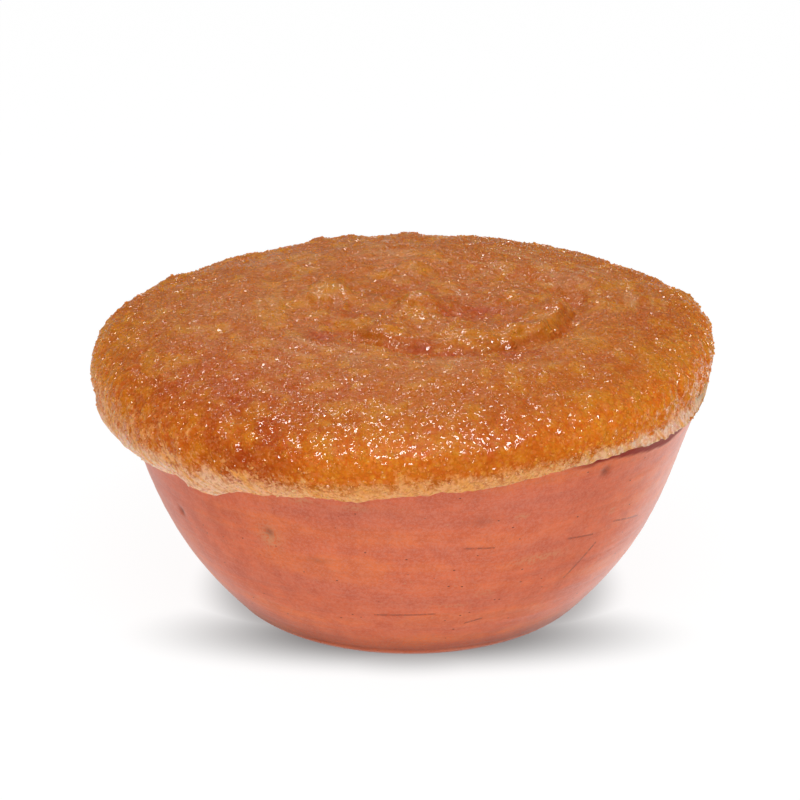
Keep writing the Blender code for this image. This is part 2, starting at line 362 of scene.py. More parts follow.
def even_steps(path, step):
    """Values from 0 to 1 that divide a path into stretches of about one length."""
    points = [path(index / PATH_SAMPLES) for index in range(PATH_SAMPLES + 1)]
    lengths = [0.0]
    for before, after in zip(points, points[1:]):
        lengths.append(lengths[-1] + (after - before).length)
    count = max(1, round(lengths[-1] / step))
    values = []
    index = 0
    for mark in range(count + 1):
        wanted = lengths[-1] * mark / count
        while index < PATH_SAMPLES and lengths[index + 1] < wanted:
            index += 1
        stretch = lengths[min(index + 1, PATH_SAMPLES)] - lengths[index]
        within = (wanted - lengths[index]) / max(stretch, 1e-12)
        values.append(min((index + within) / PATH_SAMPLES, 1.0))
    return values


def add_object(name, data):
    made = bpy.data.objects.new(name, data)
    bpy.context.collection.objects.link(made)
    return made


class RingMesh:
    """A closed skin built from the bottom of the axis, ring by ring, to the top of the axis."""

    def __init__(self):
        self.points = []
        self.faces = []
        self.rises = []
        self.spins = []
        self.rings = []
        self.last = None

    def add_point(self, point, rise, ring, spin):
        self.points.append(point)
        self.rises.append(rise)
        self.rings.append(ring)
        self.spins.append(spin)

    def add_ring(self, surface, count, rise=0.0):
        first = len(self.points)
        number = self.rings[-1] + 1
        for index in range(count):
            spin = math.tau * index / count
            self.add_point(surface(spin), rise, number, spin)
        ring = list(range(first, first + count))
        if self.last is not None:
            self.zip(self.last, ring)
        self.last = ring

    def add_round(self, point, count):
        """A level round ring through a point of the section."""
        self.add_ring(lambda angle: at(point, angle), count)

    def zip(self, lower, upper):
        """Triangles between two rings whose counts may differ."""
        below = 0
        above = 0
        while below < len(lower) or above < len(upper):
            corners = (lower[below % len(lower)], upper[above % len(upper)])
            if (below + 1) * len(upper) <= (above + 1) * len(lower):
                below += 1
                self.faces.append((corners[0], lower[below % len(lower)], corners[1]))
            else:
                above += 1
                self.faces.append((corners[0], upper[above % len(upper)], corners[1]))

    def cap(self, point, rise=0.0):
        self.add_point(point, rise, self.rings[-1] + 1, None)
        tip = len(self.points) - 1
        size = len(self.last)
        for index in range(size):
            self.faces.append((self.last[index], self.last[(index + 1) % size], tip))

    def start_cap(self, height, radius, count):
        self.add_point(Vector((0.0, 0.0, height)), 0.0, 0, None)
        self.add_round(Vector((radius, height)), count)
        for index in range(count):
            self.faces.append((0, self.last[(index + 1) % count], self.last[index]))

    def to_object(self, name):
        mesh = bpy.data.meshes.new(name)
        mesh.from_pydata([tuple(point) for point in self.points], [], self.faces)
        mesh.shade_smooth()
        return add_object(name, mesh)

    def reaches(self, hidden, middle_is_last):
        """How far out each ring lies in a round flat layout, with the hidden rings squeezed."""
        runs = [0.0]
        before = self.points[0]
        for index in range(1, len(self.points)):
            if self.rings[index] == len(runs):
                length = (self.points[index] - before).length
                runs.append(runs[-1] + length * (HIDDEN_SHARE if self.rings[index] in hidden else 1.0))
                before = self.points[index]
        if middle_is_last:
            runs = [runs[-1] - run for run in runs]
        return [LAYOUT_REACH * run / max(runs) for run in runs]

    def lay_flat(self, mesh, hidden, middle_is_last):
        """The round flat layout for baking: one pole in the middle, the other outside."""
        reaches = self.reaches(hidden, middle_is_last)
        layer = mesh.uv_layers.new(name="OFBake")
        for face in mesh.polygons:
            spins = [self.spins[vertex] for vertex in face.vertices]
            ways = [None if spin is None else Vector((math.cos(spin), math.sin(spin))) for spin in spins]
            middle = sum((way for way in ways if way is not None), Vector((0.0, 0.0))).normalized()
            for loop, vertex, way in zip(face.loop_indices, face.vertices, ways):
                out = middle if way is None else way
                layer.data[loop].uv = Vector((0.5, 0.5)) + out * reaches[self.rings[vertex]]


def keep_tones(mesh, keys, rows, first=0):
    """Keeps named numbers for the points from the first on, with zeros for the hidden ones."""
    zeros = (0.0,) * len(keys)
    after = len(mesh.vertices) - first - len(rows)
    for key, column in zip(keys, zip(*[zeros] * first, *rows, *[zeros] * after)):
        mesh.attributes.new(key, 'FLOAT', 'POINT').data.foreach_set("value", column)


def ring_count(radius, step):
    return max(6, round(math.tau * radius / step))


# ---- the heap ----

def lip_gap(angle):
    """How far the heap's lower edge stands off the clay: it lifts away on the front right."""
    lifted = bump(turn_between(angle, LIFTED_AZIMUTH) / LIFTED_HALF_WIDTH)
    return LIP_GAP + LIFTED_GAP * lifted


def around_heap(angle):
    return Vector((math.cos(angle), math.sin(angle), 0.0)) * HEAP_RADIUS


def ragged_edge(angle):
    """The small drips and bites of the lower edge, finer than the solid's."""
    place = around_heap(angle)
    drips = 0.5 * noise.noise(place / (3.2 * MM)) + 0.25 * noise.noise(place / (1.3 * MM))
    return drips * MM


def heap_point(angle, part):
    """A point of the heap's outside: 0 is the lower edge, 1 the widest line, 2 the middle of the top."""
    if part > 1:
        return dome_point(angle, (part - 1) * math.pi / 2)
    point, out = wall_curve(wall_part_at(hem_height(angle) + ragged_edge(angle) * (1 - part)))
    foot = at(point + out * lip_gap(angle), angle)
    way = waist(angle) - foot
    turn = part * math.pi / 2
    across = math.sin(turn) ** lip_power(angle)
    up = 1 - math.cos(turn)
    return foot + Vector((way.x * across, way.y * across, way.z * up))


def spread(point, spots):
    """The strongest of some round spots at a point of the top."""
    found = 0.0
    for x, y, radius, strength in spots:
        away = math.hypot(point.x / MM - x, point.y / MM - y) / radius
        if away < SPOT_REACH:
            found = max(found, strength * bump(away))
    return found


def stirred(point):
    """1 in the stirred hollow and 0 on the plain shoulder."""
    return blend(*STIRRED_REACH, (point.xy - HOLLOW_CENTRE).length)


def swirl_place(point, along, across):
    """Coordinates that turn with the stirring, so that noise in them makes curved ridges."""
    away = point.xy - HOLLOW_CENTRE
    reach = away.length
    turned = away.normalized() * 0.7 * HEAP_RADIUS / along if reach > 0 else Vector((0.0, 0.0))
    return Vector((turned.x, turned.y, (reach - point.z) / across))


def fold(point):
    """The sharp crease along the front of the groove, and the broken ridge on its inner side, in mm."""
    share, off = groove_place(point.x, point.y)
    if share > 0.75:
        return 0.0
    off -= 1.2 * MM * noise.noise(point / (9 * MM))
    side = 0.8 * MM if off > 0 else 2.4 * MM
    ends = blend(0.0, 0.10, share) * blend(0.62, 0.45, share)
    crease = 1.1 * ends * bump(off / side)
    broken = 0.6 + 0.9 * noise.noise(point / (3.4 * MM))
    ridge = blend(0.12, 0.3, share) * blend(0.75, 0.6, share) * broken
    ridge *= bump((off + 4.4 * MM) / (1.9 * MM))
    lip = 0.5 * ends * bump((off - 2.6 * MM) / (1.8 * MM))
    return ridge + lip - crease


def front_band(point, part):
    """1 on the wet bulge just above the widest line, strongest at the front."""
    band = blend(0.72, 0.88, part) * blend(1.52, 1.26, part)
    angle = azimuth_of(point)
    facing = bump(turn_between(angle, WET_AZIMUTH) / WET_HALF_WIDTH)
    patchy = blend(-0.3, 0.2, noise.noise(point / (7 * MM)))
    return band * (0.25 + (0.35 + 0.40 * patchy) * facing)


def heap_relief(point, part, wet):
    """How far the skin of the heap stands out, in mm, and how much of that is single beads."""
    worked = stirred(point)
    on_top = blend(1.1, 1.4, part)
    swirl = noise.fractal(swirl_place(point, 14 * MM, 2.6 * MM), 1.0, 2.0, 2)
    broad = noise.noise(point / (9 * MM))
    lumps = noise.fractal(point / (4.2 * MM), 0.9, 2.1, 3)
    clod = 0.25 - noise.voronoi(point / (2.6 * MM))[0][0] ** 2
    grain = 0.25 - noise.voronoi(point / (1.3 * MM))[0][0] ** 2
    side = abs(point.x) / HEAP_RADIUS
    rough_edge = bump((part - 1.05) / 0.45) * (0.45 + 0.75 * side)
    broken = max(worked * blend(0.0, 0.4, noise.noise(point / (7 * MM))), 0.6 * rough_edge)
    beads = (0.22 + 0.90 * broken) * clod + (0.22 + 0.06 * rough_edge - 0.08 * wet) * grain
    height = (0.45 + 0.25 * side) * broad + (0.08 + 0.50 * worked) * swirl * on_top
    height += (0.14 + 0.22 * worked + 0.15 * rough_edge) * lumps + beads
    height += edge_bumps(point, part)
    if worked > 0:
        height += fold(point) * worked
        for x, y, radius, rise in FINE_LUMPS:
            height += rise * bump(math.hypot(point.x / MM - x, point.y / MM - y) / radius)
    return height, beads


def edge_bumps(point, part):
    """The single bumps of the shoulder, in mm."""
    angle = azimuth_of(point)
    height = 0.0
    for azimuth, half_width, middle, rise in EDGE_BUMPS:
        away = turn_between(angle, math.radians(azimuth)) / math.radians(half_width)
        height += rise * bump(away) * bump((part - middle) / EDGE_BUMP_SPAN)
    return height


# The heap's columns: how far up, then the shares of its looks
TONES = ("rise", "wet", "pale", "whitish", "frost", "honey", "deep")


def heap_tones(point, part, height, beads, wet):
    """Shares of the heap's colours at a point, in the order of TONES after the wetness."""
    angle = azimuth_of(point)
    slanted = around_heap(angle + point.z / FIBRE_SLANT)
    fibres = noise.fractal(slanted / (1.5 * MM) + Vector((0.0, 0.0, point.z / (7 * MM))), 0.8, 2.0, 3)
    islands = noise.fractal(point / (3.5 * MM), 0.8, 2.0, 3)
    left = bump(turn_between(angle, DRY_AZIMUTH) / DRY_HALF_WIDTH)
    right = bump(turn_between(angle, LIFTED_AZIMUTH) / (1.6 * LIFTED_HALF_WIDTH))
    shore = part + 0.13 * fibres + 0.26 * islands + 0.08 * noise.noise(around_heap(angle) / (14 * MM))
    shore -= 0.30 * left + 0.04 * right + 0.20 * beads
    pale = blend(1.00, 0.42, shore)
    whitish = max(1.3 * left, 1.0 * right, 0.2) * blend(-0.8, 0.3, fibres) * blend(1.3, 0.5, part)
    whitish += 0.25 * blend(0.25, 0.0, part)
    streak = noise.fractal(swirl_place(point, 15 * MM, 1.6 * MM), 0.8, 2.0, 3)
    cover = max(spread(point, FROST_SPOTS), 0.25)
    deep = spread(point, DEEP_SPOTS)
    frost = cover * blend(-0.25, 0.45, streak) * blend(1.25, 1.60, part)
    frost *= (1 - 0.8 * wet) * (1 - 0.8 * deep)
    patch = noise.fractal(point / (5 * MM), 0.9, 2.0, 3)
    honey = max(spread(point, HONEY_SPOTS), 0.7 * blend(0.0, 0.45, patch))
    # Honey gathers on raised spots and bead tops, and deep red in the dips of the relief: painted light and
    # shade over the honey and deep spots.
    honey *= blend(-0.6, 0.4, patch + height)
    honey = max(honey, 0.55 * blend(0.02, 0.16, beads) * blend(1.5, 1.2, part)) * (1 - 0.7 * deep)
    honey *= blend(0.8, 1.1, part)
    deep = deep * blend(1.0, -0.4, patch) + 0.30 * blend(-0.15, -0.7, height) * blend(0.8, 1.1, part)
    return pale, min(whitish, 1.0), frost, honey, min(deep, 1.0)


def add_lining(skin):
    """The hidden inside of the heap: it fills the bowl and covers its rim."""
    floor = WALL + 0.3 * MM
    skin.start_cap(floor, 20 * MM, 24)
    skin.add_round(Vector((INSIDE_FLOOR_RADIUS, floor)), 48)
    for height in (9, 18, 28, 38, 48):
        skin.add_round(inside_wall(height * MM, WALL + LINING_GAP), 96)
    for turn in (180, 140, 90, 40, 0):
        skin.add_round(rim_round(turn, WALL / 2 + LINING_GAP), 160)

    def hanging(angle, share):
        lowest = wall_part_at(hem_height(angle) + ragged_edge(angle) * share)
        point, out = wall_curve(1 + (lowest - 1) * share)
        off = LIP_GAP + (lip_gap(angle) - LIP_GAP) * blend(0.2, 1.0, share)
        return at(point + out * off, angle)

    for share, count in ((0.3, 240), (0.6, 360), (0.85, 520)):
        skin.add_ring(lambda angle, share=share: hanging(angle, share), count)


def add_heap(sugar):
    """The heap's fine mesh, and the number of its first visible point."""
    skin = RingMesh()
    add_lining(skin)
    front = -math.pi / 2
    visible_from = len(skin.points)
    for value in even_steps(lambda value: heap_point(front, 2 * value), HEAP_STEP):
        part = 2 * value
        radius = heap_point(front, part).xy.length
        if radius < HEAP_STEP:
            break
        count = ring_count(radius, HEAP_STEP)
        skin.add_ring(lambda angle, part=part: heap_point(angle, part), count, part)
    skin.cap(heap_point(0.0, 2.0), 2.0)
    heap = skin.to_object("jaggery_heap")
    mesh = heap.data
    normals = [vector.vector.copy() for vector in mesh.vertex_normals]
    rows = []
    for index in range(visible_from, len(skin.points)):
        point = skin.points[index]
        part = skin.rises[index]
        wet = max(front_band(point, part), spread(point, WET_SPOTS))
        height, beads = heap_relief(point, part, wet)
        mesh.vertices[index].co = point + normals[index] * height * MM
        rows.append((part, wet, *heap_tones(point, part, height, beads, wet)))
    keep_tones(mesh, TONES, rows, visible_from)
    skin.lay_flat(mesh, range(skin.rings[visible_from]), True)
    mesh.materials.append(sugar)
    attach(heap, "root")
    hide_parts("jaggery")
    return heap, visible_from


# ---- the grains ----

CRYSTAL_CORNERS = 8
CRYSTAL_FACES = ((0, 1, 3, 2), (4, 6, 7, 5), (0, 4, 5, 1), (2, 3, 7, 6), (0, 2, 6, 4), (1, 5, 7, 3))


def crystal(draw, size):
    """Corners of one blocky crystal, turned at random."""
    turn = Euler([draw.uniform(0, math.tau) for _ in range(3)]).to_matrix()
    sides = Vector((1.0, draw.uniform(0.65, 1.0), draw.uniform(0.5, 0.9))) * size / 2
    corners = []
    for x in (-1, 1):
        for y in (-1, 1):
            for z in (-1, 1):
                corner = Vector((x * sides.x, y * sides.y, z * sides.z))
                corner *= draw.uniform(0.82, 1.08)
                corners.append(turn @ corner)
    return corners


def lay_in_cells(mesh):
    """A flat layout for baking, with a small square cell for each four-sided face."""
    layer = mesh.uv_layers.new(name="OFBake")
    across = math.ceil(math.sqrt(len(mesh.polygons)))
    near = CELL_MARGIN
    far = 1 - CELL_MARGIN
    for face in mesh.polygons:
        column = face.index % across
        row = face.index // across
        for loop, (u, v) in zip(face.loop_indices, ((near, near), (far, near), (far, far), (near, far))):
            layer.data[loop].uv = ((column + u) / across, (row + v) / across)


def add_grains(heap, visible_from, sugar, name, count, sizes, sunk, seed):
    """Loose crystals set in the skin of the heap, as one joined mesh."""
    draw = random.Random(seed)
    mesh = heap.data
    tones = {key: mesh.attributes[key].data for key in TONES}
    points = []
    faces = []
    rows = []
    while len(points) < CRYSTAL_CORNERS * count:
        index = draw.randrange(visible_from, len(mesh.vertices))
        rise = tones["rise"][index].value
        share = 0.45 + 0.55 * blend(1.75, 1.15, rise)
        share *= 1 - 0.8 * tones["wet"][index].value * blend(1.65, 1.50, rise)
        share *= 1 - 0.93 * tones["pale"][index].value
        if rise < 0.25 or draw.random() > share:
            continue
        normal = mesh.vertices[index].normal
        size = draw.triangular(sizes[0], sizes[1], sizes[0])
        jitter = Vector([draw.uniform(-0.3, 0.3) * MM for _ in range(3)])
        place = mesh.vertices[index].co + jitter - normal * (size * (sunk - 0.5) + jitter.dot(normal))
        first = len(points)
        points.extend(place + corner for corner in crystal(draw, size))
        faces.extend(tuple(first + corner for corner in face) for face in CRYSTAL_FACES)
        row = (*(data[index].value for data in tones.values()), draw.random())
        rows.extend([row] * CRYSTAL_CORNERS)
    grains = bpy.data.meshes.new(name)
    grains.from_pydata([tuple(point) for point in points], [], faces)
    keep_tones(grains, (*TONES, "tint"), rows)
    lay_in_cells(grains)
    grains.materials.append(sugar)
    made = add_object(name, grains)
    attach(made, "root")


# ---- the bowl ----

def marks_at(point, marks):
    """The strongest of some oval marks at a point of the clay."""
    found = 0.0
    angle = azimuth_of(point)
    for azimuth, height, half_width, half_height, strength in marks:
        side = turn_between(angle, math.radians(azimuth)) * point.xy.length / MM / half_width
        up = (point.z / MM - height) / half_height
        away = math.hypot(side, up)
        if away < SPOT_REACH:
            found = max(found, strength * bump(away))
    return found


def under_the_lip(point):
    """1 on the clay just below the lifted edge of the heap, where its shadow is painted as a dark band."""
    angle = azimuth_of(point)
    away = abs(turn_between(angle, LIFTED_AZIMUTH))
    ends = blend(1.8 * LIFTED_HALF_WIDTH, 1.3 * LIFTED_HALF_WIDTH, away)
    open_part = bump(turn_between(angle, LIP_SHADOW_AZIMUTH) / LIFTED_HALF_WIDTH)
    depth = (0.9 + 4.0 * open_part + 0.4 * noise.noise(point / (3 * MM))) * MM
    return ends * blend(depth + 0.4 * MM, depth - 0.2 * MM, hem_height(angle) - point.z)


CLAY_TONES = ("orange", "rose", "pale", "dark", "painted_lip_shadow")


def clay_tones(point):
    """Shares of the clay's colours at a point, in the order of CLAY_TONES."""
    angle = azimuth_of(point)
    tilted = point.z + 1.5 * MM * math.sin(angle + 0.6)
    band = noise.noise(Vector((1.3 * math.cos(angle), 1.3 * math.sin(angle), tilted / (4.5 * MM))))
    thin = noise.noise(Vector((2 * math.cos(angle), 2 * math.sin(angle), tilted / (1.7 * MM))))
    cloud = noise.fractal(point / (16 * MM), 0.9, 2.0, 3)
    orange = max(blend(0.05, 0.45, band + 0.5 * cloud), marks_at(point, ORANGE_MARKS))
    rose = max(0.6 * blend(0.05, 0.6, 0.4 * thin - band - 0.5 * cloud), marks_at(point, ROSE_MARKS))
    pale = marks_at(point, PALE_MARKS)
    # Painted shade at the foot: darker towards the floor, with a dark line at the very bottom, joined to
    # the real dark marks.
    dark = max(marks_at(point, DARK_MARKS), blend(1.6 * MM, 0.2 * MM, point.z))
    dark = max(dark, 0.55 * blend(12 * MM, -1.0 * MM, point.z))
    # The last share is the painted shadow under the heap's lifted edge.
    return orange, rose, pale, dark, under_the_lip(point)


def clay_relief(point):
    """How far the clay stands out: the hand-turned wobble, the wheel's lines and the chips."""
    angle = azimuth_of(point)
    wobble = 0.12 * math.cos(2 * angle + 0.8) - 0.15
    drift = point.z + 1.2 * MM * math.sin(angle)
    wheel = 0.06 * noise.noise(Vector((0.0, 0.0, drift / (1.7 * MM))) + point * 6)
    hand = 0.14 * noise.noise(point / (14 * MM))
    chips = 0.5 * marks_at(point, CHIPS) + 0.2 * marks_at(point, SCRAPES)
    return (wobble + wheel + hand - chips) * MM


def add_bowl(clay):
    """The bowl's fine mesh, with the clay's colours on its outer wall."""
    skin = RingMesh()
    flat = BASE_RADIUS - BASE_EDGE_ROUND
    skin.start_cap(0.0, flat / 2, 48)
    skin.add_round(Vector((flat * 0.98, 0.0)), 180)
    flat_edge = Vector((flat, 0.02 * MM))
    skin.add_round(flat_edge, 260)
    lowest = wall_part_at(2.2 * BASE_EDGE_ROUND)
    first = wall_curve(lowest)[0]
    edge = Vector((BASE_RADIUS + BASE_EDGE_ROUND * 0.25, BASE_EDGE_ROUND * 0.45))
    for share in (0.35, 0.6, 0.8):
        near = flat_edge.lerp(edge, share)
        far = edge.lerp(first, share)
        skin.add_round(near.lerp(far, share), 300)

    def wall_path(value):
        return wall_curve(lowest + (1 - lowest) * value)[0]

    visible_from = len(skin.points)
    for value in even_steps(wall_path, CLAY_STEP):
        point = wall_path(value)
        skin.add_round(point, ring_count(point.x, CLAY_STEP))
    visible_to = len(skin.points)
    for turn in (20, 45, 70, 90, 110, 135, 160):
        skin.add_round(rim_round(turn, WALL / 2), 220)
    for height in (54, 45, 36, 27, 18, 9):
        skin.add_round(inside_wall(height * MM, WALL), 128)
    skin.add_round(Vector((INSIDE_FLOOR_RADIUS, WALL)), 64)
    skin.cap(Vector((0.0, 0.0, WALL)))
    bowl = skin.to_object("turned_clay_bowl")
    mesh = bowl.data
    rows = []
    for index in range(visible_from, visible_to):
        point = skin.points[index]
        out = Vector((point.x, point.y, 0.0)).normalized()
        mesh.vertices[index].co = point + out * clay_relief(point)
        rows.append(clay_tones(point))
    keep_tones(mesh, CLAY_TONES, rows, visible_from)
    skin.lay_flat(mesh, range(skin.rings[visible_to], skin.rings[-1] + 1), False)
    mesh.materials.append(clay)
    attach(bowl, "root")
    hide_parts("clay_bowl")


# ---- materials ----

class Nodes:
    """Short calls that add nodes to the tree of one material or world."""

    def __init__(self, owner):
        owner.use_nodes = True
        self.owner = owner
        self.tree = owner.node_tree

    def add(self, kind, inputs=None, **settings):
        made = self.tree.nodes.new(kind)
        for key, value in settings.items():
            setattr(made, key, value)
        for key, value in (inputs or {}).items():
            self.feed(made.inputs[key], value)
        return made

    def feed(self, socket, value):
        if isinstance(value, bpy.types.NodeSocket):
            self.tree.links.new(value, socket)
        elif socket.type == 'RGBA':
            socket.default_value = (*value, 1.0)
        else:
            socket.default_value = value

    def place(self):
        return self.add("ShaderNodeTexCoord").outputs["Object"]

    def noise(self, place, size, detail=3.0, roughness=0.55):
        made = self.add("ShaderNodeTexNoise", {
            "Vector": place, "Scale": 1 / size, "Detail": detail, "Roughness": roughness})
        return made.outputs["Fac"]

    def all_cells(self, place, size):
        return self.add("ShaderNodeTexVoronoi", {"Vector": place, "Scale": 1 / size}).outputs

    def cells(self, place, size):
        return self.all_cells(place, size)["Distance"]

    def ramp(self, value, low, high, to_low=0.0, to_high=1.0):
        made = self.add("ShaderNodeMapRange", {
            "Value": value, "From Min": low, "From Max": high, "To Min": to_low, "To Max": to_high},
            interpolation_type='SMOOTHSTEP')
        return made.outputs["Result"]

    def math(self, operation, first, second):
        return self.add("ShaderNodeMath", {0: first, 1: second}, operation=operation).outputs[0]

    def product(self, first, *others):
        for other in others:
            first = self.math('MULTIPLY', first, other)
        return first

    def rest(self, value):
        return self.math('SUBTRACT', 1.0, value)

    def mix(self, share, first, second, blend_type='MIX'):
        inputs = {0: share, 6: first, 7: second}
        return self.add("ShaderNodeMix", inputs, data_type='RGBA', blend_type=blend_type).outputs[2]

    def mix_numbers(self, share, first, second):
        return self.add("ShaderNodeMix", {0: share, 2: first, 3: second}).outputs[0]

    def tinted(self, colour, tint):
        return self.mix(1.0, colour, tint, 'MULTIPLY')

    def attribute(self, name):
        return self.add("ShaderNodeAttribute", attribute_name=name).outputs["Fac"]

    def part_of(self, place, axis):
        return self.add("ShaderNodeSeparateXYZ", {"Vector": place}).outputs[axis]

    def vector_math(self, operation, first, second=(0.0, 0.0, 0.0)):
        made = self.add("ShaderNodeVectorMath", {0: first, 1: second}, operation=operation)
        return made.outputs["Value" if operation in ('LENGTH', 'DOT_PRODUCT') else "Vector"]

    def scaled(self, vector, factor):
        made = self.add("ShaderNodeVectorMath", {0: vector, "Scale": factor}, operation='SCALE')
        return made.outputs["Vector"]

    def stretch(self, place, scale):
        return self.add("ShaderNodeMapping", {"Vector": place, "Scale": scale}).outputs["Vector"]

    def bump(self, height, distance, normal=None):
        inputs = {"Height": height, "Distance": distance}
        if normal is not None:
            inputs["Normal"] = normal
        return self.add("ShaderNodeBump", inputs).outputs["Normal"]

    def segment(self, place, start, end, half_width):
        """1 on a thin straight line between two points, 0 away from it."""
        way = end - start
        from_start = self.vector_math('SUBTRACT', place, start)
        share = self.vector_math('DOT_PRODUCT', from_start, way / way.length_squared)
        share = self.math('MINIMUM', self.math('MAXIMUM', share, 0.0), 1.0)
        off = self.vector_math('SUBTRACT', from_start, self.scaled(way, share))
        return self.ramp(self.vector_math('LENGTH', off), half_width * 1.3, half_width * 0.6)

    def swirl(self, place, along, across):
        """Coordinates round the hollow: long stretches along the turn and short ones across it."""
        away = self.vector_math('SUBTRACT', place, (HOLLOW_CENTRE.x, HOLLOW_CENTRE.y, 0.0))
        flat = self.vector_math('MULTIPLY', away, (1.0, 1.0, 0.0))
        turned = self.vector_math('NORMALIZE', flat)
        spun = self.scaled(turned, HEAP_RADIUS * 0.7 / along)
        run = self.math('SUBTRACT', self.vector_math('LENGTH', flat), self.part_of(place, "Z"))
        lift = self.add("ShaderNodeCombineXYZ", {"Z": self.math('DIVIDE', run, across)}).outputs[0]
        return self.vector_math('ADD', spun, lift)

    def unrolled(self, place):
        """The wall laid flat: the way round it as x, and the height as z."""
        turn = self.math('ARCTAN2', self.part_of(place, "Y"), self.part_of(place, "X"))
        run = self.math('MULTIPLY', turn, UNROLLED_RADIUS)
        return self.add("ShaderNodeCombineXYZ", {"X": run, "Z": self.part_of(place, "Z")}).outputs[0]

    def finish(self, **inputs):
        """Feeds the Principled shader, and returns the material."""
        for key, value in inputs.items():
            self.feed(self.tree.nodes["Principled BSDF"].inputs[key.replace("_", " ")], value)
        return self.owner


def new_material(name):
    return Nodes(bpy.data.materials.new(name))


# Sizes of the looks
CRYSTAL_SIZE = 0.52 * MM
DROP_SIZE = 1.4 * MM
FILM_BEAD_SIZE = 1.7 * MM
GRIT_SIZE = 0.7 * MM
LIGHT_DEPTHS = (1.0, 0.35, 0.08)  # how far red, green and blue light spread in the sugar

AMBER = (0.57, 0.136, 0.004)
AMBER_DEEP = (0.50, 0.069, 0.002)
ORANGE = (0.86, 0.220, 0.010)
HONEY = (0.70, 0.240, 0.004)
FROST = (0.65, 0.280, 0.105)
PALE = (0.91, 0.385, 0.095)
PALE_DRY = (0.95, 0.65, 0.49)
DARK_SPECK = (0.88, 0.84, 0.78)
# the painted sparkle of the heap, and a pale tint of the loose grains
PALE_SPECK = (0.92, 0.54, 0.30)
# colour of the painted glints
PAINTED_GLINT = (1.0, 0.70, 0.42)
BEAD_EDGE = (0.80, 0.160, 0.002)
BEAD_MIDDLE = (0.96, 0.350, 0.020)
DARKEST_GRAIN = (1.08, 1.10, 1.12)
PALEST_GRAIN = (1.22, 1.30, 1.45)
WHITE = (1.0, 1.0, 1.0)


def sugar_colour(nodes, place, grain):
    """Base colour of the jaggery, how pale it is and how dry its surface is."""
    rise = nodes.attribute("rise")
    wet_band = nodes.ramp(nodes.attribute("wet"), 0.15, 0.45, 0.35, 1.0)
    band = nodes.product(nodes.ramp(rise, 0.15, 0.45), nodes.ramp(rise, 1.42, 1.06), wet_band, 0.9)
    drops = nodes.ramp(nodes.cells(place, DROP_SIZE), 0.20, 0.60)
    beaded = nodes.ramp(nodes.noise(place, 3 * MM, 4.0, 0.7), 0.40, 0.60, 0.2, 0.9)
    beads = nodes.mix(beaded, ORANGE, nodes.mix(drops, BEAD_MIDDLE, BEAD_EDGE))
    colour = nodes.mix(band, AMBER, beads)
    colour = nodes.mix(nodes.attribute("deep"), colour, AMBER_DEEP)
    colour = nodes.mix(nodes.attribute("honey"), colour, HONEY)
    streak = nodes.noise(nodes.swirl(place, 9 * MM, 0.8 * MM), 1.0, roughness=0.65)
    frosted = nodes.product(nodes.attribute("frost"), nodes.ramp(streak, 0.38, 0.60, 0.35, 1.0))
    colour = nodes.mix(frosted, colour, FROST)
    shore = nodes.math('ADD', nodes.attribute("pale"), nodes.ramp(grain, 0.3, 0.7, -0.15, 0.15))
    upright = nodes.noise(nodes.stretch(place, (1.0, 1.0, 0.4)), 0.9 * MM)
    pale = nodes.product(nodes.ramp(shore, 0.05, 0.95), nodes.ramp(upright, 0.66, 0.46, 0.5, 1.0))
    dry_colour = nodes.mix(nodes.attribute("whitish"), PALE, PALE_DRY)
    colour = nodes.mix(nodes.product(pale, 0.95), colour, dry_colour)
    return colour, pale, nodes.math('MAXIMUM', pale, frosted)


def jaggery_material():
    nodes = new_material("jaggery_sugar")
    place = nodes.place()
    wetness = nodes.attribute("wet")
    crystals = nodes.all_cells(place, CRYSTAL_SIZE)
    shade = nodes.part_of(crystals["Color"], "X")
    colour, pale, dry = sugar_colour(nodes, place, shade)
    colour = nodes.tinted(colour, nodes.mix(nodes.ramp(shade, 0.0, 0.5), DARK_SPECK, WHITE))
    # Painted sparkle: the lightest crystal cells are lightened, less on the wet parts, in place of glinting
    # facets.
    painted_sparkle = nodes.product(nodes.ramp(shade, 0.72, 0.95), nodes.ramp(wetness, 0.1, 0.8, 0.14, 0.06))
    colour = nodes.mix(painted_sparkle, colour, PALE_SPECK)
    # Painted glints: a few crystal cells are turned near white in the base colour, as if catching the
    # light.
    picked = nodes.ramp(nodes.part_of(crystals["Color"], "Y"), 0.955, 0.985)
    painted_glints = nodes.product(picked, nodes.ramp(crystals["Distance"], 0.50, 0.25), 0.45)
    colour = nodes.mix(painted_glints, colour, PAINTED_GLINT)
    beads = nodes.cells(place, FILM_BEAD_SIZE)
    waves = nodes.bump(nodes.noise(place, 3.6 * MM, 1.0), 1.5 * MM)
    film = nodes.bump(nodes.rest(nodes.product(beads, beads)), 0.40 * MM, waves)
    tilt = nodes.vector_math('SUBTRACT', crystals["Color"], (0.5, 0.5, 0.5))
    facets = nodes.vector_math('ADD', film, nodes.scaled(tilt, nodes.ramp(wetness, 0.1, 0.8, 0.9, 0.25)))
    return nodes.finish(
        Base_Color=colour,
        Roughness=nodes.ramp(dry, 0.0, 1.0, 0.45, 0.7),
        Normal=nodes.bump(crystals["Distance"], -0.09 * MM),
        Specular_IOR_Level=0.15,
        Subsurface_Weight=0.5,
        Subsurface_Radius=LIGHT_DEPTHS,
        Subsurface_Scale=1.4 * MM,
        Coat_Weight=nodes.product(nodes.ramp(wetness, 0.05, 0.8, 0.52, 1.0), nodes.rest(pale)),
        Coat_Roughness=0.08,
        Coat_IOR=1.55,
        Coat_Normal=nodes.vector_math('NORMALIZE', facets),
    )


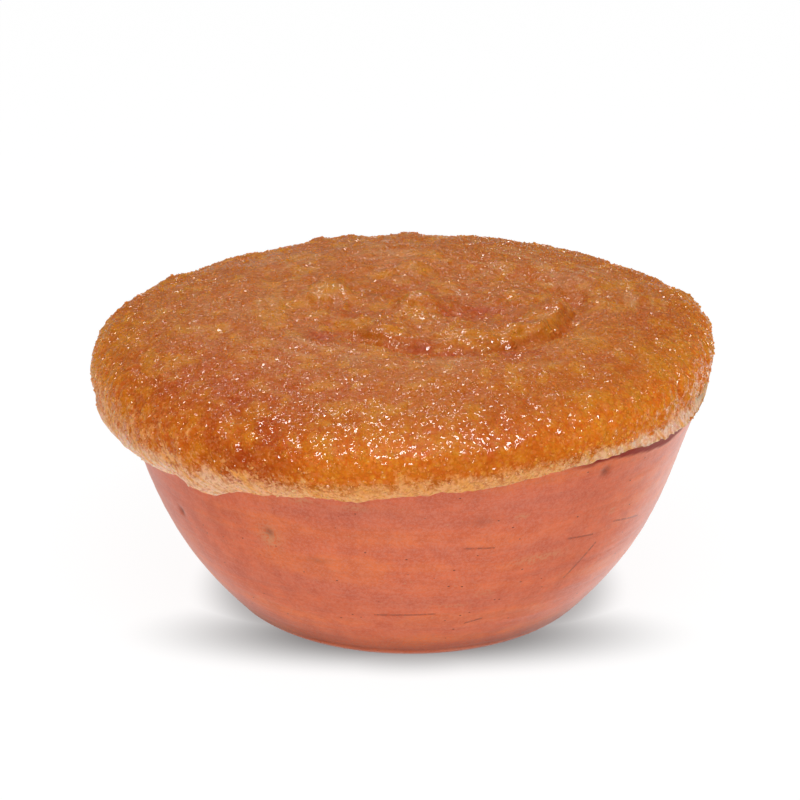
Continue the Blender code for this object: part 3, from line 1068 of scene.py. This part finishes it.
def grain_material():
    nodes = new_material("sugar_grains")
    tint = nodes.attribute("tint")
    colour, _, dry = sugar_colour(nodes, nodes.place(), tint)
    colour = nodes.tinted(colour, nodes.mix(tint, DARKEST_GRAIN, PALEST_GRAIN))
    return nodes.finish(
        Base_Color=nodes.mix(0.12, colour, PALE_SPECK),
        Roughness=nodes.ramp(dry, 0.0, 1.0, 0.14, 0.4),
        Specular_IOR_Level=0.5,
        Subsurface_Weight=0.3,
        Subsurface_Radius=LIGHT_DEPTHS,
        Subsurface_Scale=0.8 * MM,
    )


CLAY = (0.86, 0.160, 0.052)
CLAY_ORANGE = (0.92, 0.184, 0.044)
CLAY_ROSE = (0.76, 0.150, 0.068)
CLAY_PALE = (0.80, 0.300, 0.130)
CLAY_DUST = (0.88, 0.360, 0.250)
# also the colour of the painted shade at the foot
CLAY_DARK = (0.22, 0.045, 0.022)
# Painted shadow: the dark colour of the clay in the gap under the heap's lifted edge
PAINTED_LIP_SHADOW = (0.36, 0.030, 0.011)
DARK_LINE = (0.96, 0.95, 0.95)
PALE_LINE = (1.03, 1.04, 1.04)
DARK_MOTTLE = (0.92, 0.87, 0.87)
PALE_MOTTLE = (1.06, 1.12, 1.12)


def scratches(nodes, place):
    """1 on the scratches of the clay, each a straight line on the wall laid flat."""
    wall = nodes.unrolled(place)
    cut = 0.0
    for start, end, half_width in SCRATCHES:
        ends = []
        for azimuth, height in (start, end):
            ends.append(Vector((math.radians(azimuth) * UNROLLED_RADIUS, 0.0, height * MM)))
        cut = nodes.math('MAXIMUM', cut, nodes.segment(wall, *ends, half_width * MM))
    return cut


def clay_colour(nodes, place, lines, grit):
    """Base colour of the clay, with the painted shadow under the lifted edge, and how dark its marks, pits,
    scratches and painted foot shade are.
    """
    colour = nodes.mix(nodes.attribute("orange"), CLAY, CLAY_ORANGE)
    colour = nodes.mix(nodes.attribute("rose"), colour, CLAY_ROSE)
    colour = nodes.tinted(colour, nodes.mix(nodes.ramp(lines, 0.35, 0.65), DARK_LINE, PALE_LINE))
    mottle = nodes.ramp(nodes.noise(place, 5 * MM, 5.0, 0.7), 0.35, 0.65)
    colour = nodes.tinted(colour, nodes.mix(mottle, DARK_MOTTLE, PALE_MOTTLE))
    dust = nodes.ramp(nodes.noise(place, GRIT_SIZE, roughness=0.9), 0.42, 0.62)
    colour = nodes.mix(nodes.product(dust, 0.30), colour, CLAY_DUST)
    scraped = nodes.product(nodes.attribute("pale"), nodes.ramp(grit, 0.40, 0.54))
    specks = nodes.product(nodes.ramp(nodes.cells(place, 3.2 * MM), 0.075, 0.05), 0.7)
    colour = nodes.mix(nodes.math('MAXIMUM', scraped, specks), colour, CLAY_PALE)
    # The dark marks and the painted shade at the foot, broken up by grit.
    torn_or_foot_shade = nodes.product(nodes.attribute("dark"), nodes.ramp(grit, 0.30, 0.52, 0.5, 1.0))
    pits = nodes.ramp(nodes.cells(nodes.stretch(place, (1.0, 1.0, 1.7)), 4.1 * MM), 0.07, 0.045)
    dark = nodes.math('MAXIMUM', torn_or_foot_shade, nodes.product(pits, 0.8))
    cut = nodes.product(scratches(nodes, place), nodes.ramp(grit, 0.40, 0.52, 0.25, 1.0), 0.45)
    dark = nodes.math('MAXIMUM', dark, cut)
    colour = nodes.mix(dark, colour, CLAY_DARK)
    # Painted shadow: the clay under the heap's lifted edge is darkened where the gap lies in shade.
    return nodes.mix(nodes.attribute("painted_lip_shadow"), colour, PAINTED_LIP_SHADOW), dark


def clay_material():
    nodes = new_material("clay")
    place = nodes.place()
    lines = nodes.noise(nodes.stretch(place, (0.10, 0.10, 1.6)), 1.6 * MM, 4.0, 0.65)
    grit = nodes.noise(place, GRIT_SIZE, roughness=0.6)
    colour, dark = clay_colour(nodes, place, lines, grit)
    gloss = nodes.ramp(nodes.part_of(place, "Z"), 0.0, 16 * MM, 0.1, 0.72)
    wheel = nodes.bump(lines, 0.10 * MM, nodes.bump(grit, 0.05 * MM))
    return nodes.finish(
        Base_Color=colour,
        Roughness=nodes.ramp(lines, 0.35, 0.65, 0.50, 0.62),
        Normal=nodes.bump(nodes.rest(dark), 0.2 * MM, wheel),
        Specular_IOR_Level=0.35,
        # no coat on the painted shadow under the lifted edge
        Coat_Weight=nodes.product(gloss, nodes.rest(nodes.attribute("painted_lip_shadow"))),
        Coat_Roughness=0.36,
        Coat_Normal=wheel,
    )


FLOOR_COLOUR = (0.09, 0.105, 0.105)
FLOOR_LIGHT = (1.0, 0.99, 0.99)


def floor_material():
    """A pale floor that glows, less in an oval shade under the bowl and in a round one beside it."""
    nodes = new_material("pale_floor")
    place = nodes.place()
    oval = nodes.vector_math('MULTIPLY', nodes.vector_math('SUBTRACT', place, SHADE_CENTRE), SHADE_OVAL)
    wide = nodes.ramp(nodes.vector_math('LENGTH', oval), *SHADE_REACH, FLOOR_SHADE, FLOOR_GLOW)
    close = nodes.ramp(nodes.vector_math('LENGTH', place), *CONTACT_REACH, CONTACT_SHADE, FLOOR_GLOW)
    return nodes.finish(
        Base_Color=FLOOR_COLOUR,
        Roughness=0.9,
        Specular_IOR_Level=0.0,
        Emission_Color=FLOOR_LIGHT,
        Emission_Strength=nodes.math('MINIMUM', wide, close),
    )


# ---- the studio ----

def add_floor():
    mesh = bpy.data.meshes.new("floor")
    corners = [(-1, -1), (1, -1), (1, 1), (-1, 1)]
    mesh.from_pydata([(x * FLOOR_REACH, y * FLOOR_REACH, 0.0) for x, y in corners], [], [(0, 1, 2, 3)])
    floor = add_object("floor", mesh)
    mesh.materials.append(floor_material())
    floor.visible_glossy = False


def add_area_light(name, place, size, power, on_matt, on_glossy):
    light = bpy.data.lights.new(name, 'AREA')
    light.shape = 'RECTANGLE'
    light.size, light.size_y = size
    light.energy = power
    lamp = add_object(name, light)
    lamp.location = place
    lamp.visible_diffuse = on_matt
    lamp.visible_glossy = on_glossy
    lamp.rotation_euler = (TARGET - Vector(place)).to_track_quat('-Z', 'Y').to_euler()


def add_camera():
    camera = bpy.data.cameras.new("camera")
    camera.lens = CAMERA_LENS
    camera.clip_start = 0.01
    body = add_object("camera", camera)
    height = CAMERA_CENTRE_HEIGHT + CAMERA_DISTANCE * math.sin(CAMERA_RISE)
    body.location = (0.0, -CAMERA_DISTANCE * math.cos(CAMERA_RISE), height)
    body.rotation_euler = (TARGET - body.location).to_track_quat('-Z', 'Y').to_euler()
    bpy.context.scene.camera = body


def add_world():
    """Even light all round, brighter from above, on a white background.

    Glossy surfaces mirror a dark room instead, with a bright table and a faint strip behind it.
    """
    nodes = Nodes(bpy.data.worlds.new("studio"))
    way = nodes.add("ShaderNodeTexCoord").outputs["Generated"]
    z = nodes.part_of(way, "Z")
    above = nodes.ramp(z, 0.35, 0.85)
    even = nodes.mix_numbers(above, LIGHT_AROUND, nodes.ramp(z, 0.35, 0.85, LIGHT_AROUND, LIGHT_ABOVE))
    behind = nodes.ramp(nodes.part_of(way, "Y"), 0.38, 0.62)
    table = nodes.ramp(z, 0.10, -0.20, MIRRORED_BACKDROP, MIRRORED_TABLE)
    side = nodes.ramp(nodes.part_of(way, "X"), -0.5, 0.5, *MIRRORED_SIDES)
    strip = nodes.product(nodes.ramp(z, 0.12, 0.34, 0.0, MIRRORED_STRIP), nodes.ramp(z, 0.80, 0.50))
    mirrored = nodes.math('ADD', nodes.product(behind, side, table), nodes.product(behind, strip))
    path = nodes.add("ShaderNodeLightPath").outputs
    lit = nodes.tree.nodes["Background"]
    nodes.feed(lit.inputs["Color"], WHITE)
    nodes.feed(lit.inputs["Strength"], nodes.mix_numbers(path["Is Glossy Ray"], even, mirrored))
    seen = nodes.add("ShaderNodeBackground", {"Color": WHITE})
    kinds = {0: path["Is Camera Ray"], 1: lit.outputs[0], 2: seen.outputs[0]}
    choice = nodes.add("ShaderNodeMixShader", kinds)
    nodes.feed(nodes.tree.nodes["World Output"].inputs["Surface"], choice.outputs[0])
    bpy.context.scene.world = nodes.owner


def main():
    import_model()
    heap, visible_from = add_heap(jaggery_material())
    grains = grain_material()
    for kind in GRAINS:
        add_grains(heap, visible_from, grains, *kind)
    add_bowl(clay_material())
    add_floor()
    add_world()
    for lamp in LAMPS:
        add_area_light(*lamp)
    add_camera()
    bpy.context.scene.view_settings.view_transform = 'Standard'


main()
